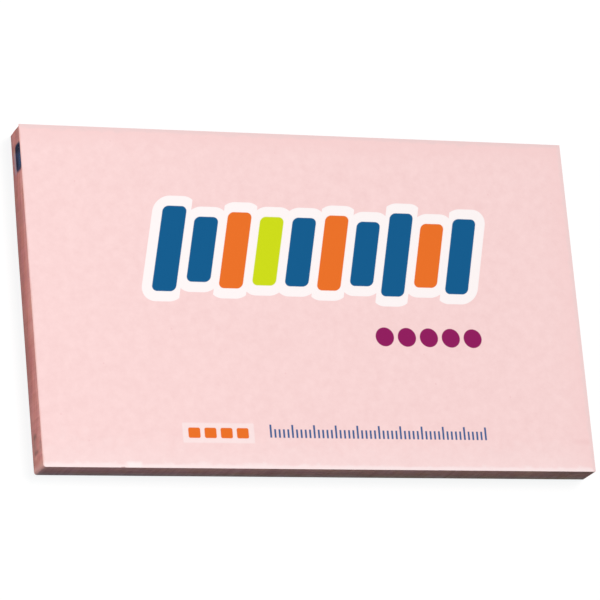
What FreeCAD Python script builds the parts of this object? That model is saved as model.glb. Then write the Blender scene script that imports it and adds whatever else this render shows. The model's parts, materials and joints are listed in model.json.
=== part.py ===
"""Pad of sticky notes, 76 x 127 mm: a printed cover note on a block of plain notes, with a backing sheet.

The pad lies on its back. X runs along the long edges, Y from the free edge to the glued edge, and Z up
from the backing sheet to the cover note. The origin is the middle of the face that the pad rests on.
All sizes are in millimetres.

The paper was piled, glued and cut through with one knife, so all sheets have the same outline. The knife
pressed every sheet thinner along its cut, which leaves a shallow groove between each two sheets on all
four sides. Along the glued edge the adhesive fills most of that groove. Since the cut, the sheets have
slipped on each other by a few hundredths, so that the sides are not quite plumb.
"""

import FreeCAD
import Part

import math
import os

# The pad as it is sold
pad_length = 127.0
pad_height = 76.0
note_count = 100

# Paper
note_thickness = 0.065
backing_thickness = 0.1

# Cut edges: the height of each bevel, and how far the bevels run in at the free edges and the glued one
bevel_height = 0.013
free_edge_bevel = 0.03
glued_edge_bevel = 0.01

# Slip of the sheets on each other: its most to either side, and the height of stack that one wave takes
slip_amount = 0.03
slip_wave = 2.2

# Levels in the stack
block_base = backing_thickness
block_top = block_base + (note_count - 1) * note_thickness


def slip_along(z):
    """Shift of the sheets along X at this height in the stack."""
    return slip_amount * math.sin(2 * math.pi * z / slip_wave)


def slip_across(z):
    """Shift of the sheets along Y at this height, a quarter of a wave away from the one along X."""
    return slip_amount * math.cos(2 * math.pi * z / slip_wave)


def edge_outline(place, inward, bevel_depth, slip, base, thickness, count):
    """Outline of one cut side, from the bottom up, as (place, height) points.

    place is where the edge of a sheet that hasn't slipped stands, and inward is the sign that leads from
    there into the paper. Each sheet has an upright land between two bevels, and neighbours meet at the
    bottom of a groove.
    """
    points = [(place + slip(base) + inward * bevel_depth, base)]
    for sheet in range(count):
        bottom = base + sheet * thickness
        top = bottom + thickness
        land = place + slip((bottom + top) / 2)
        points.append((land, bottom + bevel_height))
        points.append((land, top - bevel_height))
        points.append((place + slip(top) + inward * bevel_depth, top))
    return points


def extruded(corners, travel):
    """Closed section through these corners, drawn out along travel."""
    section = Part.Face(Part.makePolygon(corners + corners[:1]))
    return section.extrude(travel)


def stack_of_sheets(base, thickness, count):
    """Sheets of one thickness, piled from this height.

    They are the overlap of two bars, one cut to the pad's length and one to its height. Each bar is drawn
    out well past the sides that the other one cuts.
    """
    left = edge_outline(-pad_length / 2, 1, free_edge_bevel, slip_along, base, thickness, count)
    right = edge_outline(pad_length / 2, -1, free_edge_bevel, slip_along, base, thickness, count)
    long_section = [FreeCAD.Vector(x, -pad_height, z) for x, z in left + right[::-1]]
    long_bar = extruded(long_section, FreeCAD.Vector(0, 2 * pad_height, 0))

    free = edge_outline(-pad_height / 2, 1, free_edge_bevel, slip_across, base, thickness, count)
    glued = edge_outline(pad_height / 2, -1, glued_edge_bevel, slip_across, base, thickness, count)
    short_section = [FreeCAD.Vector(-pad_length, y, z) for y, z in free + glued[::-1]]
    short_bar = extruded(short_section, FreeCAD.Vector(2 * pad_length, 0, 0))

    return long_bar.common(short_bar).Solids[0]


def backing_sheet():
    """Plain paper that covers the adhesive of the lowest note."""
    return stack_of_sheets(0.0, backing_thickness, 1)


def note_block():
    """The plain notes, which the adhesive holds together as one block."""
    return stack_of_sheets(block_base, note_thickness, note_count - 1)


def cover_note():
    """The top note, which carries the print."""
    return stack_of_sheets(block_top, note_thickness, 1)


pieces = {
    "backing_sheet": backing_sheet(),
    "note_block": note_block(),
    "cover_note": cover_note(),
}

os.makedirs("parts", exist_ok=True)
for name, solid in pieces.items():
    solid.exportStep(f"parts/{name}.step")
    print(f"{name}: {len(solid.Faces)} faces, {solid.Volume:.1f} mm3, valid {solid.isValid()}")
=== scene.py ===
"""Looks of a pad of pink sticky notes: printed cover note, block of plain notes and backing sheet.

The sizes below are in millimetres unless their name says otherwise, and the meshes are in metres, in the
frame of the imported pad: X along the long edges, Y from the free edge to the glued edge, Z up, with the
origin in the middle of the underside.
"""

import json
import logging
import math
from dataclasses import dataclass
from enum import Enum
from typing import Any

import bmesh
import bpy
from mathutils import Matrix, Vector

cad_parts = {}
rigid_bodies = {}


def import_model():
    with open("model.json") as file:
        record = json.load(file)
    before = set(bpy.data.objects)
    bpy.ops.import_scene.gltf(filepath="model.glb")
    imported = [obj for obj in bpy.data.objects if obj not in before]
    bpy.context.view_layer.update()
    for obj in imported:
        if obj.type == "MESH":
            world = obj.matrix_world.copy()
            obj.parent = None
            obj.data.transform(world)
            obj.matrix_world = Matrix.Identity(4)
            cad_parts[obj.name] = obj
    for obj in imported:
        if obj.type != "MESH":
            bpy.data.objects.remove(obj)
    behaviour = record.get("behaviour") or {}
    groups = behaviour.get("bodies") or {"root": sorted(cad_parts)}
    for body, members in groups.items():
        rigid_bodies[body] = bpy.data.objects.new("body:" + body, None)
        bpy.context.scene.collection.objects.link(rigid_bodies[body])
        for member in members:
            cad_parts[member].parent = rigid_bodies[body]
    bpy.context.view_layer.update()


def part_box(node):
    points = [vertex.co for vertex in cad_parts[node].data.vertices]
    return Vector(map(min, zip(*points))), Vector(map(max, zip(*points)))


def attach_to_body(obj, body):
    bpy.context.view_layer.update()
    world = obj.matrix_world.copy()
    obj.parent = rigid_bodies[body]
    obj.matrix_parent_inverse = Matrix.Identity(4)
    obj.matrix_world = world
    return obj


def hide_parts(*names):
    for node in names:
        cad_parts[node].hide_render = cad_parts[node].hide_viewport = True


log = logging.getLogger("note_pad")

MM = 0.001
BAKE_MAP = "OFBake"

Triple = tuple[float, float, float]
Colour = Triple

# Attribute that holds the random number of each sheet in a pile
SHEET_TINT = "sheet_tint"

# Spans that a ramp stretches: of a noise, of the paper's mottle and fibres, and of the knife's lines
NOISE_SPAN = (0.3, 0.7)
CLOUD_SPAN = (0.25, 0.75)
FIBRE_SPAN = (0.5, 1.1)
KNIFE_SPAN = (0.3, 0.65)

# How steeply a surface faces up where a cut edge turns into a sheet's face, for single sheets and the block
EDGE_SPAN = (0.6, 0.8)
FLAT_SPAN = (0.97, 0.99)

# A point belongs to a cut side where it is nearer to it than this
SIDE_REACH = 1.0


class Ink(Enum):
    """Printing inks on the cover note, as linear colours."""

    BLUE = (0.0, 0.102, 0.266)
    ORANGE = (0.831, 0.162, 0.016)
    LIME = (0.610, 0.716, 0.004)
    PURPLE = (0.275, 0.007, 0.108)
    SLATE = (0.045, 0.110, 0.285)
    WHITE = (1.0, 0.93, 0.925)


class Side(Enum):
    """The four cut sides of the pad, as (axis, sign)."""

    LEFT = (0, -1)
    RIGHT = (0, 1)
    FREE = (1, -1)
    GLUED = (1, 1)


class Graph:
    """Adds and links nodes in one node tree, so that a pattern reads as a formula."""

    def __init__(self, tree: bpy.types.NodeTree) -> None:
        """Take the tree to write in.

        Args:
            tree: a shader or geometry node tree.
        """
        self.tree = tree

    def feed(self, socket: bpy.types.NodeSocket, value: Any) -> None:
        """Link value to the socket if it is a socket too, and otherwise set it there.

        Args:
            socket: an input socket.
            value: another node's output, or a plain value.
        """
        if isinstance(value, bpy.types.NodeSocket):
            self.tree.links.new(value, socket)
        else:
            socket.default_value = value

    def node(self, kind: str, inputs: dict[Any, Any] | None = None, **settings: Any) -> bpy.types.Node:
        """Add a node.

        Args:
            kind: Blender's name of the node type.
            inputs: value or socket for each input, by the input's name or number.
            settings: properties of the node itself.

        Returns:
            The node.
        """
        made = self.tree.nodes.new(kind)
        for name, value in settings.items():
            setattr(made, name, value)
        for key, value in (inputs or {}).items():
            self.feed(made.inputs[key], value)
        return made

    def math(self, operation: str, *values: Any, clamp: bool = False) -> bpy.types.NodeSocket:
        """Add a Math node on these values and return its result."""
        made = self.node("ShaderNodeMath", dict(enumerate(values)), operation=operation, use_clamp=clamp)
        return made.outputs[0]

    def vector(self, operation: str, *values: Any) -> bpy.types.NodeSocket:
        """Add a Vector Math node on these values and return its vector."""
        return self.node("ShaderNodeVectorMath", dict(enumerate(values)), operation=operation).outputs[0]

    def scaled(self, vector: Any, by: Any) -> bpy.types.NodeSocket:
        """The vector times one number."""
        return self.node("ShaderNodeVectorMath", {0: vector, "Scale": by}, operation="SCALE").outputs[0]

    def times(self, *values: Any) -> Any:
        """Multiply values.

        Args:
            values: numbers or sockets.

        Returns:
            Their product, or the value itself where there is one.
        """
        product = values[0]
        for value in values[1:]:
            product = self.math("MULTIPLY", product, value)
        return product

    def plus(self, first: Any, second: Any) -> bpy.types.NodeSocket:
        """The sum of two values."""
        return self.math("ADD", first, second)

    def minus(self, first: Any, second: Any) -> bpy.types.NodeSocket:
        """The first value less the second."""
        return self.math("SUBTRACT", first, second)

    def held(self, value: Any, low: float, high: float) -> bpy.types.NodeSocket:
        """The value, kept from low to high."""
        return self.math("MINIMUM", self.math("MAXIMUM", value, low), high)

    def split(self, vector: bpy.types.NodeSocket) -> list[bpy.types.NodeSocket]:
        """The three parts of a vector."""
        return list(self.node("ShaderNodeSeparateXYZ", {0: vector}).outputs)

    def joined(self, x: Any = 0.0, y: Any = 0.0, z: Any = 0.0) -> bpy.types.NodeSocket:
        """A vector made of three values."""
        return self.node("ShaderNodeCombineXYZ", {0: x, 1: y, 2: z}).outputs[0]

    def ramp(
        self,
        value: Any,
        low: Any,
        high: Any,
        to_low: Any = 0.0,
        to_high: Any = 1.0,
        smooth: bool = False,
    ) -> bpy.types.NodeSocket:
        """Map a value onto another range, clamped at both ends.

        Args:
            value: the value.
            low: where its range starts.
            high: where it ends.
            to_low: what low becomes.
            to_high: what high becomes.
            smooth: ease in and out.

        Returns:
            The mapped value.
        """
        kind = "SMOOTHSTEP" if smooth else "LINEAR"
        places = {0: value, 1: low, 2: high, 3: to_low, 4: to_high}
        return self.node("ShaderNodeMapRange", places, interpolation_type=kind).outputs[0]

    def mixed(self, share: Any, first: Any, second: Any, blend: str = "MIX") -> bpy.types.NodeSocket:
        """Mix two colours, with share of the second."""
        colours = {6: opaque(first), 7: opaque(second), 0: share}
        return self.node("ShaderNodeMix", colours, data_type="RGBA", blend_type=blend).outputs[2]

    def tinted(self, colour: Any, by: Any) -> bpy.types.NodeSocket:
        """The colour times another one."""
        return self.mixed(1.0, colour, by, blend="MULTIPLY")

    def upward(self) -> bpy.types.NodeSocket:
        """How far the surface faces up, from -1 to 1."""
        return self.split(self.node("ShaderNodeTexCoord").outputs["Normal"])[2]

    def noise(self, at: Any, scale: float, detail: float = 2.0, roughness: float = 0.5) -> bpy.types.Node:
        """Add a 3D noise at this place, with scale in cells for each unit of it."""
        places = {"Vector": at, "Scale": scale, "Detail": detail, "Roughness": roughness}
        return self.node("ShaderNodeTexNoise", places)

    def group(self, tree: bpy.types.NodeTree, inputs: dict[str, Any]) -> bpy.types.Node:
        """Place a node group.

        Args:
            tree: the group.
            inputs: value or socket for each of its inputs, by name.

        Returns:
            The group's node.
        """
        kind = "ShaderNodeGroup" if tree.bl_idname == "ShaderNodeTree" else "GeometryNodeGroup"
        made = self.tree.nodes.new(kind)
        made.node_tree = tree
        for name, value in inputs.items():
            self.feed(made.inputs[name], value)
        return made


def opaque(colour: Any) -> Any:
    """A colour tuple with full alpha, or a socket as it is."""
    return (*colour, 1.0) if isinstance(colour, tuple) and len(colour) == 3 else colour


def new_group(
    name: str, kind: str, inputs: dict[str, str], outputs: dict[str, str]
) -> tuple[Graph, bpy.types.Node, bpy.types.Node]:
    """Start a node group.

    Args:
        name: the group's name.
        kind: ShaderNodeTree or GeometryNodeTree.
        inputs: socket type of each input, by name.
        outputs: socket type of each output, by name.

    Returns:
        The graph to write in, the group's input node and its output node.
    """
    tree = bpy.data.node_groups.new(name, kind)
    for way, sockets in (("INPUT", inputs), ("OUTPUT", outputs)):
        for socket, socket_type in sockets.items():
            tree.interface.new_socket(name=socket, in_out=way, socket_type=socket_type)
    return Graph(tree), tree.nodes.new("NodeGroupInput"), tree.nodes.new("NodeGroupOutput")


FLOAT, VECTOR, INTEGER = "NodeSocketFloat", "NodeSocketVector", "NodeSocketInt"
GEOMETRY, MATERIAL = "NodeSocketGeometry", "NodeSocketMaterial"


@dataclass(frozen=True)
class GrainPattern:
    """Pattern of uncoated paper: cells for each millimetre, and the shares and reach of its parts."""

    cloud_cells: float = 0.55
    felt_cells: float = 7.0
    bend_cells: float = 1.3
    bend_mm: float = 0.8
    strand_turns: tuple[float, ...] = (0.35, -0.9)
    strand_stretches: tuple[Triple, ...] = ((3.2, 26.0, 10.0), (24.0, 3.6, 10.0))
    strand_cells: float = 0.5
    strand_share: float = 0.6
    speck_cells: float = 0.16
    speck_reach: tuple[float, float] = (0.02, 0.045)


@dataclass(frozen=True)
class StreakPattern:
    """Noises of the cut sides, each as cells for each millimetre along and up the side, and detail."""

    wide: Triple = (0.05, 1.5, 2.0)
    fine: Triple = (0.10, 8.0, 1.0)
    fine_share: float = 0.65
    coarse_knife: Triple = (0.7, 0.06, 2.0)
    sharp_knife: Triple = (2.6, 0.12, 2.0)
    sharp_share: float = 0.5
    hue: Triple = (0.16, 0.3, 3.0)
    tinge: Triple = (0.55, 0.4, 2.0)
    roughness: float = 0.6
    patch_slant: float = -6.0
    patch_cells: tuple[float, float] = (0.16, 0.07)


class SurfaceGroups:
    """Shader node groups that more than one surface of the pad uses."""

    def __init__(self) -> None:
        """Build the groups once."""
        self.patch = self.build_patch()
        self.grain = self.build_grain(GrainPattern())
        self.streaks = self.build_streaks(StreakPattern())

    @staticmethod
    def build_patch() -> bpy.types.NodeTree:
        """Distance from the outline of a rectangle with round corners, negative inside.

        Returns:
            A group from Point, Centre, Half Size and Corner to Distance, all in millimetres.
        """
        sockets = {"Point": VECTOR, "Centre": VECTOR, "Half Size": VECTOR, "Corner": FLOAT}
        graph, given, result = new_group("Patch outline", "ShaderNodeTree", sockets, {"Distance": FLOAT})
        point, centre, half_size, corner = (given.outputs[name] for name in sockets)
        places = graph.split(graph.vector("SUBTRACT", point, centre))[:2]
        halves = graph.split(half_size)[:2]
        over_x, over_y = [
            graph.minus(graph.math("ABSOLUTE", place), graph.minus(half, corner))
            for place, half in zip(places, halves)
        ]
        past = graph.joined(graph.math("MAXIMUM", over_x, 0.0), graph.math("MAXIMUM", over_y, 0.0))
        outside = graph.node("ShaderNodeVectorMath", {0: past}, operation="LENGTH").outputs["Value"]
        inside = graph.math("MINIMUM", graph.math("MAXIMUM", over_x, over_y), 0.0)
        graph.feed(result.inputs["Distance"], graph.minus(graph.plus(outside, inside), corner))
        return graph.tree

    @staticmethod
    def build_grain(pattern: GrainPattern) -> bpy.types.NodeTree:
        """Fibres and formation of uncoated paper.

        Args:
            pattern: its scales.

        Returns:
            A group from Point in millimetres to Cloud, the soft mottle seen through a sheet, Fibre, the
            fine felt, and Speck, a mask of rare coloured fibres.
        """
        outputs = {"Cloud": FLOAT, "Fibre": FLOAT, "Speck": FLOAT}
        graph, given, result = new_group("Paper grain", "ShaderNodeTree", {"Point": VECTOR}, outputs)
        point = given.outputs["Point"]
        cloud = graph.noise(point, pattern.cloud_cells, detail=3.0, roughness=0.6).outputs[0]
        felt = graph.noise(point, pattern.felt_cells, detail=3.0, roughness=0.65).outputs[0]
        bend = graph.scaled(graph.noise(point, pattern.bend_cells).outputs["Color"], pattern.bend_mm)
        bent = graph.vector("ADD", point, bend)
        strands = []
        for turn, stretch in zip(pattern.strand_turns, pattern.strand_stretches):
            turned = graph.node(
                "ShaderNodeMapping", {"Vector": bent, "Rotation": (0.0, 0.0, turn), "Scale": stretch}
            ).outputs[0]
            strands.append(graph.noise(turned, pattern.strand_cells, detail=1.0).outputs[0])
        fibre = graph.plus(felt, graph.times(graph.math("MAXIMUM", *strands), pattern.strand_share))
        cells = graph.node(
            "ShaderNodeTexVoronoi",
            {"Vector": point, "Scale": pattern.speck_cells, "Randomness": 1.0},
            feature="F1",
        )
        speck = graph.ramp(cells.outputs["Distance"], *pattern.speck_reach, 1.0, 0.0, smooth=True)
        for name, value in zip(outputs, (cloud, fibre, speck)):
            graph.feed(result.inputs[name], value)
        return graph.tree

    @staticmethod
    def build_streaks(pattern: StreakPattern) -> bpy.types.NodeTree:
        """Uneven tone of a cut side, as values of about 0 to 1 round 0.5.

        Args:
            pattern: its scales.

        Returns:
            A group from Point in millimetres to Streak, which runs along the sheets, Patch, which climbs
            across them at a slant, Knife, the knife's lines across them, Hue, broad bands, and Tinge,
            narrow ones.
        """
        outputs = {"Streak": FLOAT, "Patch": FLOAT, "Knife": FLOAT, "Hue": FLOAT, "Tinge": FLOAT}
        graph, given, result = new_group("Cut side streaks", "ShaderNodeTree", {"Point": VECTOR}, outputs)

        def stretched(along: float, up: float, detail: float) -> bpy.types.NodeSocket:
            """Noise with its own number of cells for each millimetre along and up the side."""
            at = graph.vector("MULTIPLY", given.outputs["Point"], (along, along, up))
            return graph.noise(at, 1.0, detail, pattern.roughness).outputs[0]

        def blended(first: Triple, second: Triple, share: float) -> bpy.types.NodeSocket:
            """Two such noises, with this share of the second."""
            rest = graph.times(stretched(*first), 1.0 - share)
            return graph.plus(rest, graph.times(stretched(*second), share))

        x, y, z = graph.split(given.outputs["Point"])
        run = graph.plus(x, y)
        slant = graph.math("MULTIPLY_ADD", z, pattern.patch_slant, run)
        across, along = pattern.patch_cells
        aslant = graph.joined(graph.times(slant, across), graph.times(run, along))
        values = (
            blended(pattern.wide, pattern.fine, pattern.fine_share),
            graph.noise(aslant, 1.0, 2.0).outputs[0],
            blended(pattern.coarse_knife, pattern.sharp_knife, pattern.sharp_share),
            stretched(*pattern.hue),
            stretched(*pattern.tinge),
        )
        for name, value in zip(outputs, values):
            graph.feed(result.inputs[name], value)
        return graph.tree


@dataclass(frozen=True)
class Paper:
    """Uncoated paper of one stock: its thin and thick places, coloured fibres, and surface."""

    pale: Colour
    deep: Colour
    speck: Colour
    roughness: float = 0.85
    specular: float = 0.05
    felt_depth: float = 0.004
    cloud_share: float = 0.7
    speck_share: float = 0.6


PINK_NOTE = Paper(pale=(0.985, 0.713, 0.705), deep=(0.917, 0.634, 0.626), speck=(0.88, 0.56, 0.56))
WHITE_BACKING = Paper(pale=(0.87, 0.86, 0.82), deep=(0.82, 0.80, 0.75), speck=(0.62, 0.58, 0.52))
# Painted shade: the backing sheet's cut edge, darker than its faces
BACKING_CUT_SHADE: Colour = (0.62, 0.50, 0.46)


@dataclass(frozen=True)
class CutSide:
    """Colours of the pad's cut sides, from the underside up, and how much they vary.

    The levels are shares of the pad's thickness, and the colours darken from high down to low as painted
    shade towards the underside. The free side has painted shade on it, greyer and darker, which thins upwards
    over two spans; it is calmer near its top, and is darker to the right of its middle. The knife's lines are
    rougher towards the free edge, and the corner between the left and the free side has a painted highlight.
    """

    # Painted shade: from high down to low the cut sides darken towards the underside
    low: Colour = (0.615, 0.236, 0.216)
    middle: Colour = (0.80, 0.280, 0.248)
    high: Colour = (0.96, 0.415, 0.365)
    levels: Triple = (0.08, 0.52, 0.94)
    plum: Colour = (0.985, 0.965, 1.035)
    ochre: Colour = (1.01, 1.03, 0.96)
    hue_drift: float = 0.45
    cool_tinge: Colour = (1.0, 0.985, 1.045)
    warm_tinge: Colour = (1.0, 1.015, 0.955)
    right_shade: float = 0.84
    right_shade_at: float = 14.0
    # Painted shade on the free side, in two hues, and how it thins upwards
    plum_shade: Colour = (0.63, 0.405, 0.385)
    olive_shade: Colour = (0.56, 0.35, 0.29)
    free_shade: float = 0.85
    free_shade_low: tuple[float, float] = (0.2, 2.2)
    free_shade_low_share: float = 0.55
    free_shade_high: tuple[float, float] = (1.5, 6.0)
    free_shade_high_share: float = 0.3
    roughness: float = 0.82
    specular: float = 0.22
    sheet_tint: float = 0.10
    streak: float = 0.26
    patch: float = 0.20
    knife: float = 0.20
    rough_knife: float = 0.40
    rough_until: float = -16.0
    variety: float = 1.2
    red_variety: float = 0.744
    calm: tuple[float, float] = (1.5, 5.5)
    calm_share: float = 0.35
    # Painted highlight on the worn corner between the left and the free side
    corner_highlight: Colour = (1.0, 0.52, 0.46)
    corner_highlight_share: float = 0.72
    highlight_along_free: tuple[float, float] = (0.2, 0.6)
    highlight_along_left: tuple[float, float] = (0.6, 2.0)


@dataclass(frozen=True)
class RimBand:
    """Band along one edge of the cover's face, between two distances from it, mixed with a colour."""

    side: Side
    near: float
    far: float
    share: float
    colour: Colour


# Painted light and shade along the cover's edges: a painted highlight in a broad and a narrow band inside the
# free edge, painted shade in broad and narrow bands inside the right and glued edges, and a darker line at
# the left
RIM_LIGHT_AND_SHADE = (
    RimBand(Side.FREE, 0.0, 9.0, 0.26, (0.985, 0.825, 0.82)),
    RimBand(Side.RIGHT, 0.0, 8.0, 0.45, (0.94, 0.635, 0.625)),
    RimBand(Side.GLUED, 0.0, 6.0, 0.75, (0.935, 0.64, 0.632)),
    RimBand(Side.FREE, 0.4, 1.3, 0.93, (0.985, 0.825, 0.82)),
    RimBand(Side.RIGHT, 0.3, 1.1, 1.0, (0.885, 0.655, 0.648)),
    RimBand(Side.GLUED, 0.3, 1.2, 1.0, (0.87, 0.64, 0.635)),
    RimBand(Side.LEFT, 0.08, 0.36, 0.7, (0.83, 0.475, 0.43)),
)


@dataclass(frozen=True)
class Stain:
    """Soft patch on one surface: its middle and half size along it and up it, its look and its edge.

    broken is how far the knife's lines break it up, from 0 to 1. A corner of 0 makes its ends round.
    """

    along: float
    up: float
    half_along: float
    half_up: float
    share: float
    colour: Colour
    blur: float = 0.5
    broken: float = 0.3
    corner: float = 0.0


SALMON: Colour = (1.0, 0.50, 0.40)
BROWN: Colour = (0.17, 0.09, 0.08)
GREY: Colour = (0.42, 0.30, 0.26)
NAVY: Colour = (0.003, 0.005, 0.016)

LEFT_SIDE_MARKS = (
    Stain(-7.5, 5.4, 1.6, 0.8, 0.40, SALMON, 0.8),
    Stain(18.0, 4.2, 2.4, 1.5, 0.35, (0.62, 0.27, 0.21), 1.0),
    Stain(23.8, 1.9, 0.8, 0.5, 0.45, (0.42, 0.13, 0.115)),
    Stain(16.8, 1.0, 0.9, 0.3, 0.5, GREY),
    Stain(-13.5, 1.5, 4.5, 0.6, 0.35, (0.40, 0.17, 0.15), 0.9),
    Stain(-30.0, 2.2, 8.0, 1.9, 0.45, (1.0, 0.43, 0.375), 1.4),
    Stain(-31.9, 2.0, 2.1, 0.8, 0.60, (0.40, 0.24, 0.20), 1.1, 0.6),
    Stain(-30.4, 2.4, 0.45, 1.0, 0.58, BROWN, 0.6),
    Stain(-33.9, 2.7, 0.35, 1.3, 0.52, BROWN, 0.5),
    Stain(-35.0, 2.1, 0.35, 0.6, 0.80, SALMON, 0.4, 0.1),
    Stain(-36.9, 4.9, 0.45, 1.0, 0.55, SALMON),
    Stain(-33.2, 5.7, 1.3, 0.9, 0.27, (0.40, 0.24, 0.20), 0.9, 0.1),
    Stain(36.4, 5.2, 1.7, 1.0, 0.50, (0.60, 0.26, 0.23), 0.9, 0.1),
    Stain(36.3, 1.9, 1.8, 0.8, 0.55, (1.0, 0.46, 0.42), 0.8, 0.1),
    Stain(32.6, 2.0, 1.0, 0.45, 0.75, (0.82, 0.56, 0.38), 0.45),
    Stain(30.3, 2.35, 2.5, 0.6, 0.80, (0.60, 0.45, 0.54), 0.5),
    Stain(30.4, 1.1, 0.25, 0.25, 0.50, (0.90, 0.80, 0.72), 0.3),
    Stain(31.1, 4.85, 3.1, 1.95, 0.98, (0.008, 0.038, 0.105), 0.36, 0.06, 1.1),
    Stain(33.0, 4.6, 0.8, 1.5, 0.85, NAVY, 0.5),
    Stain(29.9, 3.8, 1.3, 0.5, 0.85, NAVY, 0.5),
    Stain(30.2, 5.8, 1.4, 0.6, 0.75, (0.055, 0.125, 0.26), 0.6),
)

FREE_SIDE_MARKS = (
    Stain(-2.0, 4.0, 11.0, 1.2, 0.22, (0.20, 0.12, 0.11), 2.5, 0.1),
    Stain(60.0, 5.5, 8.0, 1.0, 0.42, (0.20, 0.12, 0.11), 1.8, 0.1),
)

FACE_MARKS = (
    Stain(-43.2, -37.5, 1.5, 0.75, 0.85, (1.0, 0.88, 0.87), 0.5, 0.0, 0.3),
    Stain(-45.9, -38.0, 0.45, 0.14, 0.75, (0.45, 0.22, 0.21), 0.12, 0.0),
    Stain(60.9, -31.2, 1.7, 0.5, 0.45, (0.88, 0.57, 0.565), 0.7, 0.0),
)


@dataclass(frozen=True)
class FaceShadeAndMarks:
    """Bands of painted light and shade along the cover's edges, how patchy and ragged they are, and single
    marks on its face.
    """

    bands: tuple[RimBand, ...] = RIM_LIGHT_AND_SHADE
    marks: tuple[Stain, ...] = FACE_MARKS
    patch_cells: float = 0.3
    patches: tuple[float, float] = (0.82, 1.0)
    ragged_cells: float = 0.45
    raggedness: tuple[float, float] = (0.65, 1.4)


@dataclass(frozen=True)
class PatchRow:
    """Row of patches with round corners, which may lean, and differ in height with the beat of a wave."""

    centre_x: float
    centre_y: float
    count: int
    pitch: float
    half_width: float
    half_height: float
    corner: float
    lean: float = 0.0
    swell: float = 0.0
    beat: float = 1.35


@dataclass(frozen=True)
class Rule:
    """Fine scale of upright strokes, some of them longer."""

    left: float = -12.0
    right: float = 38.0
    base: float = -31.1
    pitch: float = 1.0
    stroke: float = 0.22
    short: float = 1.9
    long: float = 2.9
    long_every: float = 5.0


@dataclass(frozen=True)
class CoverPrint:
    """Layout of the print on the cover note, from the middle of its face, and its inks."""

    bars: PatchRow = PatchRow(2.4, 10.9, 10, 7.55, 2.75, 9.7, 1.3, lean=0.22, swell=0.24)
    white_border: float = 2.3
    orange_every: float = 3.0
    first_orange: float = 2.0
    lime_bar: float = 3.0
    discs: PatchRow = PatchRow(26.9, -8.0, 5, 5.2, 2.15, 2.15, 2.15)
    tile: PatchRow = PatchRow(-23.9, -30.2, 1, 16.3, 8.1, 2.2, 0.3)
    tile_share: float = 0.40
    tile_dashes: PatchRow = PatchRow(-23.9, -30.2, 4, 3.65, 1.35, 1.15, 0.4)
    rule: Rule = Rule()
    edge_blur: float = 0.09
    tile_blur: float = 0.18
    rule_blur: float = 0.072
    show_through: float = 0.003
    roughness: float = 0.6


@dataclass(frozen=True)
class PadSize:
    """The pad's thickness, and the size along X and along Y that its sheets are sold in."""

    thickness: float
    length: float = 127.0
    height: float = 76.0


class PaperMaterial:
    """Material of one paper: its graph, the place on the object in millimetres, and the paper's grain."""

    def __init__(self, name: str, paper: Paper, pad: PadSize, groups: SurfaceGroups) -> None:
        """Start the material and give it the paper's gloss and fine felt.

        Args:
            name: the material's name.
            paper: its paper.
            pad: the pad's size.
            groups: shader groups that the materials share.
        """
        self.paper, self.pad, self.groups = paper, pad, groups
        self.material = bpy.data.materials.new(name)
        self.material.use_nodes = True
        self.graph = Graph(self.material.node_tree)
        self.shader = self.material.node_tree.nodes["Principled BSDF"]
        self.set_gloss(paper.roughness, paper.specular)
        place = self.graph.node("ShaderNodeTexCoord").outputs["Object"]
        self.point = self.graph.scaled(place, 1.0 / MM)
        self.grain = self.graph.group(groups.grain, {"Point": self.point}).outputs
        bump = self.graph.node(
            "ShaderNodeBump",
            {"Height": self.grain["Fibre"], "Distance": paper.felt_depth * MM, "Strength": 1.0},
        )
        self.graph.feed(self.shader.inputs["Normal"], bump.outputs[0])

    def set_gloss(self, roughness: float, specular: float) -> None:
        """Set the surface's roughness and specular level."""
        self.shader.inputs["Roughness"].default_value = roughness
        self.shader.inputs["Specular IOR Level"].default_value = specular

    def face(self) -> bpy.types.NodeSocket:
        """Colour of the flat paper with its mottle and specks.

        Returns:
            The colour.
        """
        graph, grain, paper = self.graph, self.grain, self.paper
        cloud = graph.times(graph.ramp(grain["Cloud"], *CLOUD_SPAN), paper.cloud_share)
        felt = graph.times(graph.ramp(grain["Fibre"], *FIBRE_SPAN), 1.0 - paper.cloud_share)
        plain = graph.mixed(graph.plus(cloud, felt), paper.deep, paper.pale)
        return graph.mixed(graph.times(grain["Speck"], paper.speck_share), plain, paper.speck)

    def painted(self, colour: bpy.types.NodeSocket) -> bpy.types.Material:
        """Give the surface this colour, which completes the material."""
        self.graph.feed(self.shader.inputs["Base Color"], colour)
        return self.material

    def stained(self, place: Any, within: Any, knife: Any, stains: tuple[Stain, ...], colour: Any) -> Any:
        """Put stains on a surface, one over the other.

        Args:
            place: place along the surface and up it, in millimetres.
            within: mask of the surface.
            knife: the knife's lines, from 0 to 1, which break the stains up.
            stains: the stains.
            colour: colour under them.

        Returns:
            The stained colour.
        """
        graph = self.graph
        for stain in stains:
            outline = graph.group(
                self.groups.patch,
                {
                    "Point": place,
                    "Centre": (stain.along, stain.up, 0.0),
                    "Half Size": (stain.half_along, stain.half_up, 0.0),
                    "Corner": stain.corner or min(stain.half_along, stain.half_up),
                },
            )
            mask = graph.ramp(outline.outputs[0], -stain.blur, stain.blur, stain.share, 0.0, smooth=True)
            whole = graph.ramp(knife, *KNIFE_SPAN, 1.0 - stain.broken, 1.0)
            colour = graph.mixed(graph.times(mask, within, whole), colour, stain.colour)
        return colour


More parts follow.
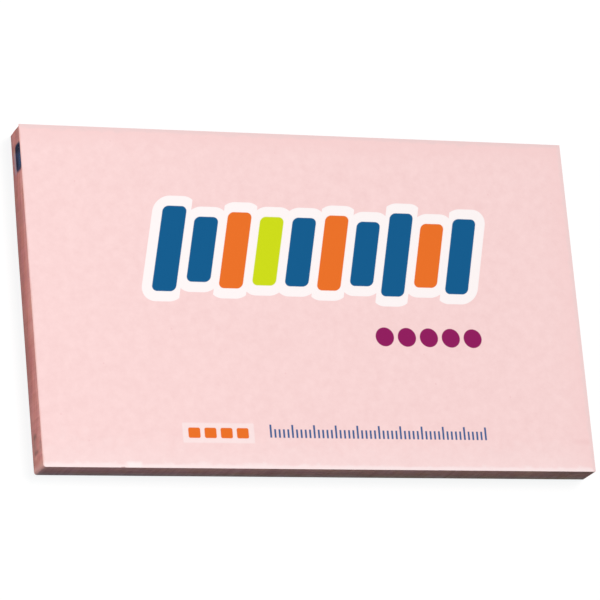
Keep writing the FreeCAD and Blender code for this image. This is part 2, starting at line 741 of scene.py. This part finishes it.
class PrintedPaper(PaperMaterial):
    """Material of the cover note: pink paper with the print on its upper face."""

    def patches(self, row: PatchRow, blur: float, grow: float = 0.0) -> tuple[Any, Any]:
        """Mask of a row of patches.

        Args:
            row: the row.
            blur: width over which the ink's edge fades.
            grow: how far past their outline the patches reach.

        Returns:
            The mask, and the number of the patch that is nearest, from 0 at the left.
        """
        graph = self.graph
        x, y, _ = graph.split(self.point)
        rise = graph.minus(y, row.centre_y)
        across = graph.minus(graph.minus(x, row.centre_x), graph.times(rise, row.lean))
        middle = (row.count - 1) / 2
        steps = graph.math("ROUND", graph.plus(graph.math("DIVIDE", across, row.pitch), middle))
        number = graph.held(steps, 0.0, float(row.count - 1))
        local = graph.minus(across, graph.times(graph.minus(number, middle), row.pitch))
        beat = graph.math("ABSOLUTE", graph.math("SINE", graph.times(number, row.beat)))
        half_height = graph.times(graph.minus(1.0, graph.times(beat, row.swell)), row.half_height)
        half_size = graph.joined(row.half_width, half_height)
        outline = graph.group(
            self.groups.patch,
            {"Point": graph.joined(local, rise), "Half Size": half_size, "Corner": row.corner},
        )
        return graph.ramp(outline.outputs[0], grow - blur, grow + blur, 1.0, 0.0, smooth=True), number

    def strokes(self, rule: Rule, blur: float) -> bpy.types.NodeSocket:
        """Mask of the fine scale's strokes.

        Args:
            rule: the scale.
            blur: width over which the ink's edge fades.

        Returns:
            The mask.
        """
        graph = self.graph
        x, y, _ = graph.split(self.point)
        run = graph.minus(x, rule.left)
        steps = graph.math("ROUND", graph.math("DIVIDE", run, rule.pitch))
        number = graph.held(steps, 0.0, float(round((rule.right - rule.left) / rule.pitch)))
        local = graph.math("ABSOLUTE", graph.minus(run, graph.times(number, rule.pitch)))
        is_long = graph.math("LESS_THAN", graph.math("MODULO", number, rule.long_every), 0.5)
        tall = graph.math("MULTIPLY_ADD", is_long, rule.long - rule.short, rule.short)
        rise = graph.minus(y, rule.base)
        return graph.times(
            graph.ramp(local, rule.stroke - blur, rule.stroke + blur, 1.0, 0.0),
            graph.ramp(graph.minus(rise, tall), -blur, blur, 1.0, 0.0),
            graph.ramp(rise, -blur, blur),
        )

    def shaded_and_marked(self, colour: Any, shade_and_marks: FaceShadeAndMarks) -> bpy.types.NodeSocket:
        """Paint light and shade in bands along the face's edges, and put single marks of handling on it.

        Args:
            colour: the paper's colour.
            shade_and_marks: the bands of painted light and shade, and the marks.

        Returns:
            The changed colour.
        """
        graph, point = self.graph, self.point
        patchy = graph.ramp(graph.noise(point, shade_and_marks.patch_cells).outputs[0], *NOISE_SPAN, *shade_and_marks.patches)
        ragged = graph.noise(point, shade_and_marks.ragged_cells, detail=3.0).outputs[0]
        ragged = graph.ramp(ragged, *NOISE_SPAN, *shade_and_marks.raggedness)
        for band in shade_and_marks.bands:
            axis, sign = band.side.value
            half = (self.pad.length, self.pad.height)[axis] / 2
            inward = graph.minus(half, graph.times(graph.split(point)[axis], float(sign)))
            share = graph.ramp(
                graph.times(inward, ragged), band.near, band.far, band.share, 0.0, smooth=True
            )
            colour = graph.mixed(graph.times(share, patchy), colour, band.colour)
        return self.stained(point, 1.0, 1.0, shade_and_marks.marks, colour)

    def build(self, side: CutSide, layout: CoverPrint, shade_and_marks: FaceShadeAndMarks) -> bpy.types.Material:
        """Print the note, paint light and shade along its edges, and mark its face.

        Args:
            side: colours of its cut edge.
            layout: the print.
            shade_and_marks: painted light and shade along its edges, and marks on its face.

        Returns:
            The material.
        """
        graph = self.graph
        bars, number = self.patches(layout.bars, layout.edge_blur)
        border, _ = self.patches(layout.bars, layout.edge_blur, grow=layout.white_border)
        tile, _ = self.patches(layout.tile, layout.tile_blur)
        discs, _ = self.patches(layout.discs, layout.edge_blur)
        dashes, _ = self.patches(layout.tile_dashes, layout.edge_blur)
        strokes = self.strokes(layout.rule, layout.rule_blur)

        white = graph.math("MAXIMUM", border, graph.times(tile, layout.tile_share))
        colour = graph.mixed(white, self.shaded_and_marked(self.face(), shade_and_marks), Ink.WHITE.value)
        turn = graph.math("MODULO", number, layout.orange_every)
        is_orange = graph.math("COMPARE", turn, layout.first_orange, 0.1)
        is_lime = graph.math("COMPARE", number, layout.lime_bar, 0.1)
        bar_ink = graph.mixed(is_orange, Ink.BLUE.value, Ink.ORANGE.value)
        bar_ink = graph.mixed(is_lime, bar_ink, Ink.LIME.value)
        cover = graph.ramp(self.grain["Fibre"], *FIBRE_SPAN, 1.0 - layout.show_through, 1.0)
        inked: Any = 0.0
        for mask, ink_colour in (
            (bars, bar_ink),
            (discs, Ink.PURPLE.value),
            (dashes, Ink.ORANGE.value),
            (strokes, Ink.SLATE.value),
        ):
            colour = graph.mixed(graph.times(mask, cover), colour, ink_colour)
            inked = graph.math("MAXIMUM", inked, mask)

        on_face = graph.ramp(graph.upward(), *EDGE_SPAN)
        gloss = graph.ramp(graph.times(inked, on_face), 0.0, 1.0, self.paper.roughness, layout.roughness)
        graph.feed(self.shader.inputs["Roughness"], gloss)
        return self.painted(graph.mixed(on_face, side.high, colour))


class BlockPaper(PaperMaterial):
    """Material of the plain notes: their cut sides, and the paper's face between them."""

    def __init__(self, name: str, paper: Paper, pad: PadSize, groups: SurfaceGroups, side: CutSide) -> None:
        """Start the material.

        Args:
            name: the material's name.
            paper: the notes' paper.
            pad: the pad's size.
            groups: shader groups that the materials share.
            side: look of the cut sides.
        """
        super().__init__(name, paper, pad, groups)
        self.set_gloss(side.roughness, side.specular)
        self.side = side
        self.streaks = self.graph.group(groups.streaks, {"Point": self.point}).outputs
        _, y, _ = self.graph.split(self.point)
        self.on_free = self.graph.math("LESS_THAN", y, SIDE_REACH - pad.height / 2)

    def side_colour(self) -> bpy.types.NodeSocket:
        """Colour of the cut sides before their tone varies: bands, painted shade low down and on the free
        side, hues and the darker right end.

        Returns:
            The colour.
        """
        graph, side, half = self.graph, self.side, self.pad.length / 2
        x, _, z = graph.split(self.point)
        level = graph.math("DIVIDE", z, self.pad.thickness)
        low, middle, high = side.levels
        # Painted shade: the sides darken towards the underside
        colour = graph.mixed(graph.ramp(level, low, middle), side.low, side.middle)
        colour = graph.mixed(graph.ramp(level, middle, high), colour, side.high)
        along_free = graph.times(x, self.on_free)
        shade = graph.ramp(along_free, 0.0, side.right_shade_at, 1.0, side.right_shade, smooth=True)
        colour = graph.tinted(colour, graph.joined(shade, shade, shade))

        drift = graph.times(graph.ramp(x, -half, half, -side.hue_drift, side.hue_drift), self.on_free)
        hue = graph.math("ADD", graph.ramp(self.streaks["Hue"], *NOISE_SPAN), drift, clamp=True)
        # Painted shade on the free side: greyer and darker, thinning upwards
        free_shade_mask = graph.times(
            self.on_free,
            graph.ramp(z, *side.free_shade_low, side.free_shade, side.free_shade_low_share * side.free_shade, smooth=True),
            graph.ramp(z, *side.free_shade_high, 1.0, side.free_shade_high_share),
        )
        colour = graph.mixed(free_shade_mask, colour, graph.mixed(hue, side.plum_shade, side.olive_shade))
        colour = graph.tinted(colour, graph.mixed(hue, side.plum, side.ochre))
        tinge = graph.ramp(self.streaks["Tinge"], *NOISE_SPAN)
        return graph.tinted(colour, graph.mixed(tinge, side.cool_tinge, side.warm_tinge))

    def side_tone(self) -> bpy.types.NodeSocket:
        """Tone of the cut sides, which varies from sheet to sheet, in streaks and in the knife's lines.

        Returns:
            How far the tone is off its mean, as a share.
        """
        graph, side = self.graph, self.side
        _, y, z = graph.split(self.point)
        tint = graph.node("ShaderNodeAttribute", attribute_name=SHEET_TINT).outputs["Fac"]
        tone = graph.ramp(tint, 0.0, 1.0, 1.0 - side.sheet_tint / 2, 1.0 + side.sheet_tint / 2)
        for pattern, reach in (("Streak", side.streak), ("Patch", side.patch)):
            part = graph.ramp(self.streaks[pattern], *NOISE_SPAN, 1.0 - reach / 2, 1.0 + reach / 2)
            tone = graph.times(tone, part)
        depth = graph.ramp(y, -self.pad.height / 2, side.rough_until, side.rough_knife, side.knife)
        knife = graph.ramp(self.streaks["Knife"], *NOISE_SPAN, -0.5, 0.5)
        tone = graph.times(tone, graph.math("MULTIPLY_ADD", knife, depth, 1.0))
        calm = graph.times(self.on_free, graph.ramp(z, *side.calm, 0.0, side.calm_share))
        return graph.times(graph.minus(tone, 1.0), graph.minus(1.0, calm))

    def build(self) -> bpy.types.Material:
        """Colour the cut sides, paint a highlight on their worn corner, stain them, and leave the sheets'
        faces plain.

        Returns:
            The material.
        """
        graph, side, pad = self.graph, self.side, self.pad
        x, y, z = graph.split(self.point)
        on_left = graph.math("LESS_THAN", x, SIDE_REACH - pad.length / 2)
        tone = self.side_tone()
        red, other = (graph.math("MULTIPLY_ADD", tone, by, 1.0) for by in (side.red_variety, side.variety))
        colour = graph.tinted(self.side_colour(), graph.joined(red, other, other))
        # Painted highlight where the worn corner between the left and the free side catches the light
        corner_highlight = graph.times(
            graph.ramp(graph.plus(x, pad.length / 2), *side.highlight_along_free, side.corner_highlight_share, 0.0),
            graph.ramp(graph.plus(y, pad.height / 2), *side.highlight_along_left, 1.0, 0.0),
        )
        colour = graph.mixed(corner_highlight, colour, side.corner_highlight)
        for along, within, marks in ((y, on_left, LEFT_SIDE_MARKS), (x, self.on_free, FREE_SIDE_MARKS)):
            colour = self.stained(graph.joined(along, z), within, self.streaks["Knife"], marks, colour)
        flat = graph.ramp(graph.math("ABSOLUTE", graph.upward()), *FLAT_SPAN)
        return self.painted(graph.mixed(flat, colour, self.face()))


class BackingPaper(PaperMaterial):
    """Material of the plain backing sheet, darker at its cut edge as painted shade."""

    def build(self) -> bpy.types.Material:
        """Colour the sheet's faces, and its edge with painted shade."""
        on_face = self.graph.ramp(self.graph.math("ABSOLUTE", self.graph.upward()), *EDGE_SPAN)
        return self.painted(self.graph.mixed(on_face, BACKING_CUT_SHADE, self.face()))


@dataclass(frozen=True)
class Ring:
    """One closed line round a sheet: how far in from the cut sides it runs, and its height."""

    inset: float
    glued_inset: float
    level: float


@dataclass
class SheetOutline:
    """Rectangle of a cut sheet with worn corners, and its stations crowded towards them.

    The corners are counted anticlockwise from the one between the left and the free side.
    """

    length: float
    height: float
    long_steps: int = 30
    short_steps: int = 20
    corner_steps: int = 6
    corner_wear: tuple[float, ...] = (0.6, 0.2, 0.12, 0.12)
    least_bend: float = 0.1
    crease_degrees: float = 20.0

    def corner(self, number: int, ring: Ring) -> list[Vector]:
        """Points of a ring round one worn corner, anticlockwise.

        Args:
            number: the corner.
            ring: the ring.

        Returns:
            The points, in metres.
        """
        bend = max(self.corner_wear[number] - ring.inset, self.least_bend)
        on_right, on_glued = number in (1, 2), number in (2, 3)
        in_x = self.length / 2 - ring.inset - bend
        in_y = self.height / 2 - (ring.glued_inset if on_glued else ring.inset) - bend
        centre = Vector((in_x if on_right else -in_x, in_y if on_glued else -in_y, ring.level))
        quarters = [2 + number + step / self.corner_steps for step in range(self.corner_steps + 1)]
        turns = [quarter * math.pi / 2 for quarter in quarters]
        return [(centre + bend * Vector((math.cos(turn), math.sin(turn), 0.0))) * MM for turn in turns]

    def line(self, ring: Ring) -> list[Vector]:
        """Points of a ring once round the sheet, anticlockwise from its first corner.

        Args:
            ring: the ring.

        Returns:
            The points, in metres.
        """
        arcs = [self.corner(number, ring) for number in range(len(self.corner_wear))]
        points: list[Vector] = []
        for number, arc in enumerate(arcs):
            steps = self.short_steps if number % 2 else self.long_steps
            ahead = arcs[(number + 1) % len(arcs)][0]
            shares = [(1 - math.cos(math.pi * step / steps)) / 2 for step in range(1, steps)]
            points += arc + [arc[-1].lerp(ahead, share) for share in shares]
        return points

    def closed_mesh(self, name: str, rings: list[Ring]) -> bpy.types.Mesh:
        """Closed sheet through these rings, from the middle of its underside round its edge to its top.

        Args:
            name: the mesh's name.
            rings: the rings in that order.

        Returns:
            The mesh.
        """
        work = bmesh.new()
        loops = [[work.verts.new(place) for place in self.line(ring)] for ring in rings]
        work.faces.new(loops[0][::-1])
        work.faces.new(loops[-1])
        for low, high in zip(loops, loops[1:]):
            for i, corner in enumerate(low):
                j = (i + 1) % len(low)
                work.faces.new((corner, low[j], high[j], high[i]))
        mesh = bpy.data.meshes.new(name)
        work.to_mesh(mesh)
        work.free()
        mesh.shade_smooth()
        mesh.set_sharp_from_angle(angle=math.radians(self.crease_degrees))
        return mesh


def shown(name: str, mesh: bpy.types.Mesh) -> bpy.types.Object:
    """Put a mesh in the scene as an object at the origin.

    Args:
        name: the object's name.
        mesh: its mesh.

    Returns:
        The object.
    """
    piece = bpy.data.objects.new(name, mesh)
    bpy.context.scene.collection.objects.link(piece)
    return piece


@dataclass(frozen=True)
class BakeMap:
    """Texture map of a stack of sheets, with its flat faces in one part and its cut sides in the rest."""

    outline: SheetOutline
    low: float
    high: float
    face_share: float
    under_share: float = 0.1
    margin: float = 0.03

    def place(self, polygon: bpy.types.MeshPolygon, point: Vector) -> tuple[float, float]:
        """Place of a corner of a face on the map.

        Args:
            polygon: the face.
            point: the corner, in millimetres.

        Returns:
            The place.
        """
        length, height = self.outline.length, self.outline.height
        u, v = point.x / length + 0.5, point.y / height + 0.5
        under_share = self.under_share * self.face_share
        if abs(polygon.normal.z) > FLAT_SPAN[1]:
            upper = polygon.normal.z > 0
            start, part = (0.0, self.face_share) if upper else (self.face_share, under_share)
            return u, start + part * (self.margin / 4 + (1 - self.margin / 2) * v)
        middle = polygon.center
        across = abs(middle.x) / length > abs(middle.y) / height
        row = (0 if middle.x < 0 else 1) if across else (2 if middle.y < 0 else 3)
        strip = (1.0 - self.face_share - under_share) / len(Side)
        rise = self.margin + (1 - 2 * self.margin) * (point.z - self.low) / (self.high - self.low)
        return v if across else u, self.face_share + under_share + strip * (row + rise)

    def lay(self, mesh: bpy.types.Mesh) -> None:
        """Give a mesh this map.

        Args:
            mesh: the mesh, in metres.
        """
        layer = mesh.uv_layers.new(name=BAKE_MAP)
        for polygon in mesh.polygons:
            for corner in polygon.loop_indices:
                point = mesh.vertices[mesh.loops[corner].vertex_index].co / MM
                layer.data[corner].uv = self.place(polygon, point)


@dataclass
class CoverNote:
    """The printed top note, whose edge stands up a little where the knife went through."""

    outline: SheetOutline
    low: float
    high: float
    edge_bevel: float = 0.02
    edge_land: float = 0.6
    rim_lift: float = 0.03
    rim_insets: tuple[float, ...] = (1.0, 0.8, 0.55, 0.3, 0.12)
    map_share: float = 0.85

    def lift(self, inset: float) -> float:
        """How far the note stands up at this distance from its edge."""
        share = max(0.0, 1.0 - inset / self.rim_insets[1])
        return self.rim_lift * share * share

    def rings(self) -> list[Ring]:
        """Rings from the middle of the underside round the edge to the middle of the top.

        Returns:
            The rings.
        """
        thickness = self.high - self.low
        floor = self.low - self.rim_lift
        under = [Ring(i, i, floor + self.lift(i)) for i in self.rim_insets]
        base = floor + self.lift(0.0)
        slack = thickness * (1.0 - self.edge_land) / 2
        edge = [
            Ring(self.edge_bevel, self.edge_bevel, base),
            Ring(0.0, 0.0, base + slack),
            Ring(0.0, 0.0, base + thickness - slack),
            Ring(self.edge_bevel, self.edge_bevel, base + thickness),
        ]
        top = [Ring(i, i, floor + thickness + self.lift(i)) for i in reversed(self.rim_insets)]
        return under + edge + top

    def build(self, material: bpy.types.Material) -> bpy.types.Object:
        """Make the note and dress it.

        Args:
            material: the printed paper.

        Returns:
            The piece.
        """
        mesh = self.outline.closed_mesh("printed_cover", self.rings())
        BakeMap(self.outline, self.low - self.rim_lift, self.high, self.map_share).lay(mesh)
        mesh.materials.append(material)
        return shown("printed_cover", mesh)


PILE_SIZES = (
    "Length",
    "Height",
    "Pitch",
    "Slip",
    "Wander",
    "Dent",
    "Dent Reach",
    "Lean",
    "Lean Reach",
    "Lean Height",
    "Knock Depth",
)


@dataclass
class SheetPile:
    """Sheets cut through together: each has its own cut edge and a little slip.

    The corner between the left and the glued side has been knocked: it is driven in along Y, and the
    lower sheets of the left side lean in along X beside it.
    """

    name: str
    outline: SheetOutline
    low: float
    high: float
    count: int
    air: float = 0.0
    solid_share: float = 0.985
    bevel: float = 0.028
    glued_bevel: float = 0.01
    bevel_rise: float = 0.2
    slip: float = 0.018
    wander: float = 0.04
    wander_cells: Triple = (0.045, 0.045, 2.2)
    seed: int = 7
    dent: float = 0.42
    dent_reach: float = 9.0
    lean: float = 0.20
    lean_reach: float = 30.0
    lean_height: float = 3.6
    knock_depth: float = 5.0
    map_share: float = 0.03

    @property
    def pitch(self) -> float:
        """Height that each sheet takes in the pile."""
        return (self.high - self.low - self.air) / self.count

    def sheet(self) -> bpy.types.Mesh:
        """One sheet at the bottom of the pile.

        Returns:
            Its mesh.
        """
        thickness = self.solid_share * self.pitch
        rise = self.bevel_rise * thickness
        rings = [
            Ring(self.bevel, self.glued_bevel, self.low),
            Ring(0.0, 0.0, self.low + rise),
            Ring(0.0, 0.0, self.low + thickness - rise),
            Ring(self.bevel, self.glued_bevel, self.low + thickness),
        ]
        return self.outline.closed_mesh(self.name, rings)

    def tree(self) -> bpy.types.NodeTree:
        """Geometry nodes that pile copies of a sheet.

        Returns:
            A tree whose inputs are the sheet, the number of sheets, the seed, the material, and the
            pile's sizes in millimetres.
        """
        inputs = {"Sheet": GEOMETRY, "Sheets": INTEGER, "Seed": INTEGER, "Material": MATERIAL}
        inputs |= dict.fromkeys(PILE_SIZES, FLOAT)
        graph, given, result = new_group("Pile of sheets", "GeometryNodeTree", inputs, {"Pile": GEOMETRY})
        value = given.outputs
        step = graph.scaled(graph.joined(z=value["Pitch"]), MM)
        line = graph.node("GeometryNodeMeshLine", {"Count": value["Sheets"], "Offset": step}, mode="OFFSET")
        pile = graph.node(
            "GeometryNodeInstanceOnPoints", {"Points": line.outputs[0], "Instance": value["Sheet"]}
        ).outputs[0]
        scatter = graph.node(
            "FunctionNodeRandomValue",
            {"Min": (-1.0, -1.0, 0.0), "Max": (1.0, 1.0, 0.0), "Seed": value["Seed"]},
            data_type="FLOAT_VECTOR",
        ).outputs["Value"]
        slid = graph.scaled(scatter, graph.times(value["Slip"], MM))
        pile = graph.node(
            "GeometryNodeTranslateInstances", {"Instances": pile, "Translation": slid, "Local Space": False}
        ).outputs[0]
        tint = graph.node(
            "FunctionNodeRandomValue", {"Seed": graph.plus(value["Seed"], 1.0)}, data_type="FLOAT"
        ).outputs["Value"]
        pile = graph.node(
            "GeometryNodeStoreNamedAttribute",
            {"Geometry": pile, "Name": SHEET_TINT, "Value": tint},
            data_type="FLOAT",
            domain="INSTANCE",
        ).outputs[0]
        pile = graph.node("GeometryNodeRealizeInstances", {"Geometry": pile}).outputs[0]

        place = graph.scaled(graph.node("GeometryNodeInputPosition").outputs[0], 1.0 / MM)
        cells = graph.vector("MULTIPLY", place, self.wander_cells)
        drift = graph.noise(cells, 1.0, detail=3.0, roughness=0.65).outputs["Color"]
        drift = graph.vector("MULTIPLY", graph.vector("SUBTRACT", drift, (0.5, 0.5, 0.5)), (2.0, 2.0, 0.0))
        drift = graph.scaled(drift, graph.times(value["Wander"], MM))
        pile = graph.node("GeometryNodeSetPosition", {"Geometry": pile, "Offset": drift}).outputs[0]

        x, y, z = graph.split(place)
        from_left = graph.plus(x, graph.times(value["Length"], 0.5))
        from_glued = graph.minus(graph.times(value["Height"], 0.5), y)
        dent = graph.times(
            graph.ramp(from_left, 0.0, value["Dent Reach"], 1.0, 0.0, smooth=True),
            graph.ramp(from_glued, 0.0, value["Knock Depth"], 1.0, 0.0),
            value["Dent"],
        )
        lean = graph.times(
            graph.ramp(from_glued, 0.0, value["Lean Reach"], 1.0, 0.0, smooth=True),
            graph.ramp(from_left, 0.0, value["Knock Depth"], 1.0, 0.0),
            graph.ramp(z, 0.0, value["Lean Height"], 1.0, 0.0),
            value["Lean"],
        )
        driven_in = graph.scaled(graph.joined(lean, graph.times(dent, -1.0)), MM)
        pile = graph.node("GeometryNodeSetPosition", {"Geometry": pile, "Offset": driven_in}).outputs[0]
        pile = graph.node(
            "GeometryNodeSetMaterial", {"Geometry": pile, "Material": value["Material"]}
        ).outputs[0]
        graph.feed(result.inputs["Pile"], pile)
        return graph.tree

    def build(self, material: bpy.types.Material) -> bpy.types.Object:
        """Pile the sheets and turn the pile into a plain mesh.

        Args:
            material: their paper.

        Returns:
            The piece.
        """
        piece = shown(self.name, self.sheet())
        pile = piece.modifiers.new("pile", "NODES")
        pile.node_group = self.tree()
        settings = {
            "Sheets": self.count,
            "Seed": self.seed,
            "Material": material,
            "Length": self.outline.length,
            "Height": self.outline.height,
            "Pitch": self.pitch,
            "Slip": self.slip,
            "Wander": self.wander,
            "Dent": self.dent,
            "Dent Reach": self.dent_reach,
            "Lean": self.lean,
            "Lean Reach": self.lean_reach,
            "Lean Height": self.lean_height,
            "Knock Depth": self.knock_depth,
        }
        for item in pile.node_group.interface.items_tree:
            if item.item_type == "SOCKET" and item.in_out == "INPUT" and item.name in settings:
                pile[item.identifier] = settings[item.name]
        view = bpy.context.evaluated_depsgraph_get()
        mesh = bpy.data.meshes.new_from_object(piece.evaluated_get(view))
        piece.modifiers.remove(pile)
        piece.data = mesh
        mesh.name = self.name
        BakeMap(self.outline, self.low, self.high, self.map_share).lay(mesh)
        return piece


@dataclass
class Studio:
    """White table, soft light from above and from the left, and the camera. Angles are in degrees."""

    azimuth: float = -51.292
    elevation: float = 62.557
    roll: float = 49.319
    distance_mm: float = 910.74
    aim_mm: Triple = (-2.545, -0.057, 6.6)
    focal_length: float = 252.49
    sensor: float = 36.0
    ambient: Colour = (0.24, 0.35, 0.385)
    key_strength: float = 2.36
    key_colour: Colour = (1.0, 0.838, 0.788)
    key_direction: tuple[float, float] = (35.0, 66.0)
    key_softness: float = 28.0
    fill_watts: float = 0.495
    fill_place_m: Triple = (-0.40, -0.01, 0.10)
    fill_size_m: float = 0.10
    table_size_m: float = 6.0
    table_drop_m: float = 0.00001
    table_glow: float = 0.855
    table_white: float = 0.95
    table_shadow_share: float = 0.19
    table_bounce: Colour = (0.06, 0.075, 0.085)

    def camera(self) -> bpy.types.Object:
        """Camera at the photograph's place, turned about its own axis as the photograph is.

        Returns:
            The camera, which the scene now looks through.
        """
        lens = bpy.data.cameras.new("camera")
        lens.lens = self.focal_length
        lens.sensor_width = self.sensor
        lens.clip_start = 0.01
        lens.clip_end = 50.0
        azimuth, elevation, roll = (math.radians(a) for a in (self.azimuth, self.elevation, self.roll))
        back = Vector(
            (
                math.sin(azimuth) * math.cos(elevation),
                -math.cos(azimuth) * math.cos(elevation),
                math.sin(elevation),
            )
        )
        level = Vector((0.0, 0.0, 1.0)).cross(back).normalized()
        upright = back.cross(level)
        right = level * math.cos(roll) + upright * math.sin(roll)
        up = back.cross(right)
        place = (Vector(self.aim_mm) + back * self.distance_mm) * MM
        camera = bpy.data.objects.new("camera", lens)
        bpy.context.scene.collection.objects.link(camera)
        camera.matrix_world = Matrix.Translation(place) @ Matrix((right, up, back)).transposed().to_4x4()
        bpy.context.scene.camera = camera
        return camera

    @staticmethod
    def seen_directly(graph: Graph) -> bpy.types.NodeSocket:
        """Mask of the rays that show the background: camera, glossy and transmission rays.

        Args:
            graph: the material or world to add it to.

        Returns:
            The mask.
        """
        rays = graph.node("ShaderNodeLightPath").outputs
        mirrored = graph.math("MAXIMUM", rays["Is Glossy Ray"], rays["Is Transmission Ray"])
        return graph.math("MAXIMUM", rays["Is Camera Ray"], mirrored)

    def table(self) -> bpy.types.Object:
        """White table top that keeps the pad's shadow and throws little light back.

        Returns:
            The table.
        """
        half = self.table_size_m / 2
        mesh = bpy.data.meshes.new("table_top")
        ends = ((-half, -half), (half, -half), (half, half), (-half, half))
        mesh.from_pydata([(x, y, -self.table_drop_m) for x, y in ends], [], [(0, 1, 2, 3)])
        table = shown("table_top", mesh)
        material = bpy.data.materials.new("table_white")
        material.use_nodes = True
        graph = Graph(material.node_tree)
        graph.tree.nodes.remove(graph.tree.nodes["Principled BSDF"])
        output = graph.tree.nodes["Material Output"]
        glow = graph.node("ShaderNodeEmission", {"Color": (1.0, 1.0, 1.0, 1.0), "Strength": self.table_glow})
        white = self.table_white * self.table_shadow_share
        lit = graph.node("ShaderNodeBsdfDiffuse", {"Color": (white, white, white, 1.0)})
        both = graph.node("ShaderNodeAddShader", {0: glow.outputs[0], 1: lit.outputs[0]})
        dim = graph.node("ShaderNodeBsdfDiffuse", {"Color": opaque(self.table_bounce)})
        mix = graph.node(
            "ShaderNodeMixShader", {0: self.seen_directly(graph), 1: dim.outputs[0], 2: both.outputs[0]}
        )
        graph.feed(output.inputs["Surface"], mix.outputs[0])
        mesh.materials.append(material)
        return table

    def world(self) -> None:
        """White background, and a cool dim light from all round."""
        world = bpy.data.worlds.new("studio")
        world.use_nodes = True
        bpy.context.scene.world = world
        graph = Graph(world.node_tree)
        graph.tree.nodes.clear()
        white = graph.node("ShaderNodeBackground", {"Color": (1.0, 1.0, 1.0, 1.0), "Strength": 1.0})
        dim = graph.node("ShaderNodeBackground", {"Color": opaque(self.ambient), "Strength": 1.0})
        mix = graph.node(
            "ShaderNodeMixShader", {0: self.seen_directly(graph), 1: dim.outputs[0], 2: white.outputs[0]}
        )
        graph.node("ShaderNodeOutputWorld", {"Surface": mix.outputs[0]})

    def lamps(self) -> None:
        """Broad key from the far right above, and a soft panel low on the left."""
        key = bpy.data.lights.new("key", "SUN")
        key.energy = self.key_strength
        key.color = self.key_colour
        key.angle = math.radians(self.key_softness)
        key_lamp = bpy.data.objects.new("key", key)
        bpy.context.scene.collection.objects.link(key_lamp)
        bearing, height = (math.radians(a) for a in self.key_direction)
        towards = Vector(
            (math.cos(bearing) * math.cos(height), math.sin(bearing) * math.cos(height), math.sin(height))
        )
        key_lamp.rotation_mode = "QUATERNION"
        key_lamp.rotation_quaternion = towards.to_track_quat("Z", "Y")

        fill = bpy.data.lights.new("fill", "AREA")
        fill.energy = self.fill_watts
        fill.size = self.fill_size_m
        fill_lamp = bpy.data.objects.new("fill", fill)
        bpy.context.scene.collection.objects.link(fill_lamp)
        fill_lamp.location = self.fill_place_m
        fill_lamp.rotation_mode = "QUATERNION"
        fill_lamp.rotation_quaternion = Vector(self.fill_place_m).to_track_quat("Z", "Y")
        fill_lamp.visible_camera = False

    def build(self) -> None:
        """Set up the table, the light and the camera."""
        self.table()
        self.world()
        self.lamps()
        self.camera()
        bpy.context.scene.view_settings.view_transform = "Standard"


def attach(piece: bpy.types.Object, node: str) -> None:
    """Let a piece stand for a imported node, and report it.

    Args:
        piece: the finished piece.
        node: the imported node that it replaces.
    """
    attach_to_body(piece, "root")
    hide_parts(node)
    log.info("%s: %d faces, stands for %s", piece.name, len(piece.data.polygons), node)


def main() -> None:
    """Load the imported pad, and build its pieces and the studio."""
    logging.basicConfig(level=logging.INFO, format="%(name)s: %(message)s")
    bpy.ops.object.select_all(action="SELECT")
    bpy.ops.object.delete()
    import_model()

    backing_low, backing_high = (corner.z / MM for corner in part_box("backing_sheet"))
    block_low, block_high = (corner.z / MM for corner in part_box("note_block"))
    cover_low, cover_high = (corner.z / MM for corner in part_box("cover_note"))
    pad, groups, side = PadSize(cover_high), SurfaceGroups(), CutSide()
    outline = SheetOutline(pad.length, pad.height)

    printed = PrintedPaper("printed_pink_paper", PINK_NOTE, pad, groups).build(side, CoverPrint(), FaceShadeAndMarks())
    cover = CoverNote(outline, cover_low, cover_high).build(printed)
    attach(cover, "cover_note")
    plain = BlockPaper("pink_paper", PINK_NOTE, pad, groups, side).build()
    stack = SheetPile("note_stack", outline, block_low, block_high, count=99, air=0.03).build(plain)
    attach(stack, "note_block")
    white = BackingPaper("backing_paper", WHITE_BACKING, pad, groups).build()
    backing = SheetPile("backing", outline, backing_low, backing_high, count=1, slip=0.0).build(white)
    attach(backing, "backing_sheet")

    Studio().build()


if __name__ == "__main__":
    main()
